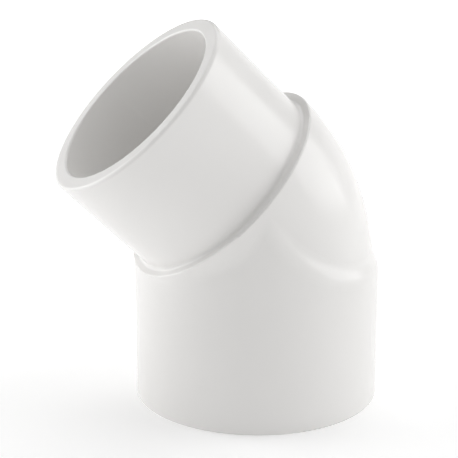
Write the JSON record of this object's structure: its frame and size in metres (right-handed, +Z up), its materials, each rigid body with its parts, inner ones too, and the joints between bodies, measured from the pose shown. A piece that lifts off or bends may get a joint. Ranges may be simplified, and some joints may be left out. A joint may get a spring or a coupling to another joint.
{
  "type": "pvc conduit elbow",
  "caption": "White rigid PVC 45 degree street elbow: a socket for pipe or conduit below, a smooth bend, and a plain spigot above with a shoulder.",
  "frame": {"origin": "centre of the socket's mouth, in the plane of the rim the fitting stands on", "axes": "+Z up the socket's axis, -X the side the spigot leans to, Y = 0 the plane both axes lie in"},
  "size_m": [0.0912, 0.0694, 0.1081],
  "materials": {
    "white_pvc": "smooth semi-gloss moulded rigid PVC, off-white"
  },
  "bodies": {
    "root": {"socket_rim": "white_pvc", "socket_wall": "white_pvc", "pipe_stop": "white_pvc", "bend": "white_pvc", "spigot": "white_pvc", "spigot_nose": "white_pvc"}
  },
  "joints": []
}
